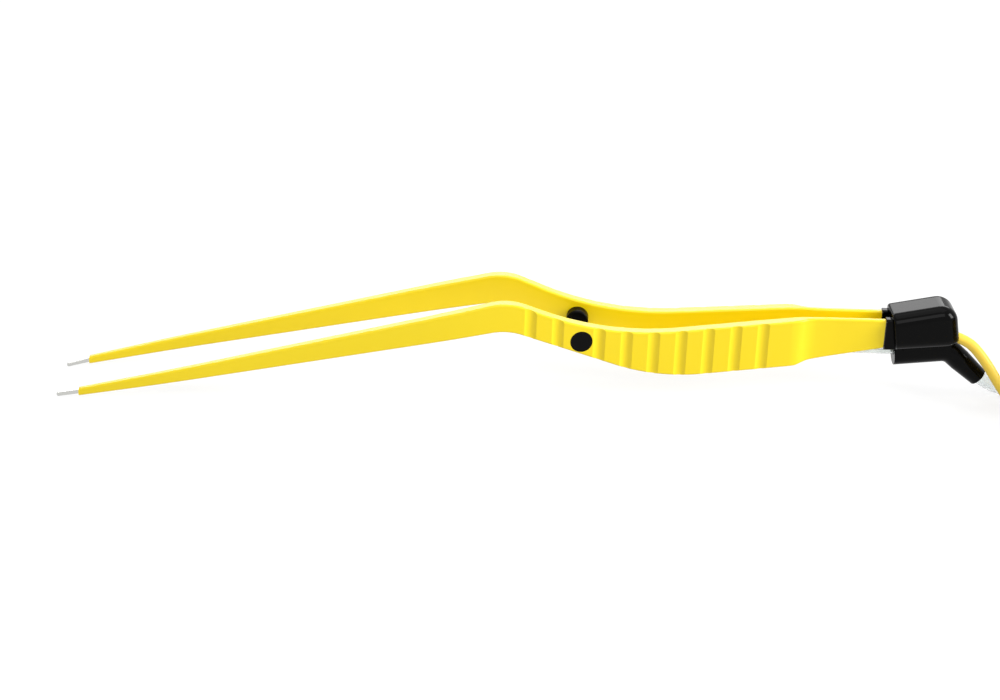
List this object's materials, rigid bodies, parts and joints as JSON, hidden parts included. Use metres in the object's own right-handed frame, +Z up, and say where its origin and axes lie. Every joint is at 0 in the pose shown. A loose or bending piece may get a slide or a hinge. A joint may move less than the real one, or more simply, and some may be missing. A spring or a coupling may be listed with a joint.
{
  "type": "irrigating bipolar forceps",
  "caption": "Bayonet bipolar forceps with insulated sprung arms, bare metal tips, irrigation line, joining housing, and attached power cord and irrigation tube in tied hanks.",
  "frame": {"origin": "on the table plane under the middle of the rigid forceps, centred between the tips and the elbow's end and between the two arms", "axes": "+X from the tips towards the cord end, +Y across to the right arm as seen by the user, +Z up from the table"},
  "size_m": [0.4065, 0.0436, 0.031],
  "materials": {
    "insulation_yellow": "smooth baked nylon coating, medium gloss",
    "blade_steel": "fine satin stainless steel",
    "peg_black": "matte black plastic",
    "housing_black": "polished black plastic",
    "crimp_tin": "tinned metal",
    "lead_sheath": "matte wire insulation",
    "spacer_plastic": "matte white plastic",
    "cord_yellow": "smooth flexible jacket, medium gloss",
    "tube_clear": "clear flexible tubing",
    "capillary_clear": "clear fine tubing",
    "tie_black": "matte black strap",
    "plug_black": "fine textured black plastic",
    "pin_metal": "plated metal",
    "luer_white": "smooth pale plastic"
  },
  "bodies": {
    "connector": {"housing": "housing_black", "irrigation_manifold": "housing_black", "blade_spacer": "spacer_plastic", "left_lead": "lead_sheath", "right_lead": "lead_sheath", "power_cord": "cord_yellow", "power_cord_hank": "cord_yellow", "power_cord_tie": "tie_black", "plug_body": "plug_black", "plug_pin_left": "pin_metal", "plug_pin_right": "pin_metal", "irrigation_tube": "tube_clear", "irrigation_tube_hank": "tube_clear", "irrigation_tube_tie": "tie_black", "luer_connector": "luer_white"},
    "left_arm": {"left_insulation": "insulation_yellow", "left_blade": "blade_steel", "left_stop_peg": "peg_black", "left_crimp": "crimp_tin", "irrigation_capillary": "capillary_clear"},
    "right_arm": {"right_insulation": "insulation_yellow", "right_blade": "blade_steel", "right_stop_peg": "peg_black", "right_crimp": "crimp_tin"}
  },
  "joints": [
    {"name": "left_arm_flex", "type": "hinge", "parent": "connector", "child": "left_arm", "pos_m": [0.0905, -0.00275, 0.0182], "axis": [0, 0, -1], "range_deg": [0, 2.14], "stiffness_Nm_per_rad": 2.5},
    {"name": "right_arm_flex", "type": "hinge", "parent": "connector", "child": "right_arm", "pos_m": [0.0905, 0.00275, 0.0182], "axis": [0, 0, 1], "range_deg": [0, 2.14], "stiffness_Nm_per_rad": 2.5}
  ]
}
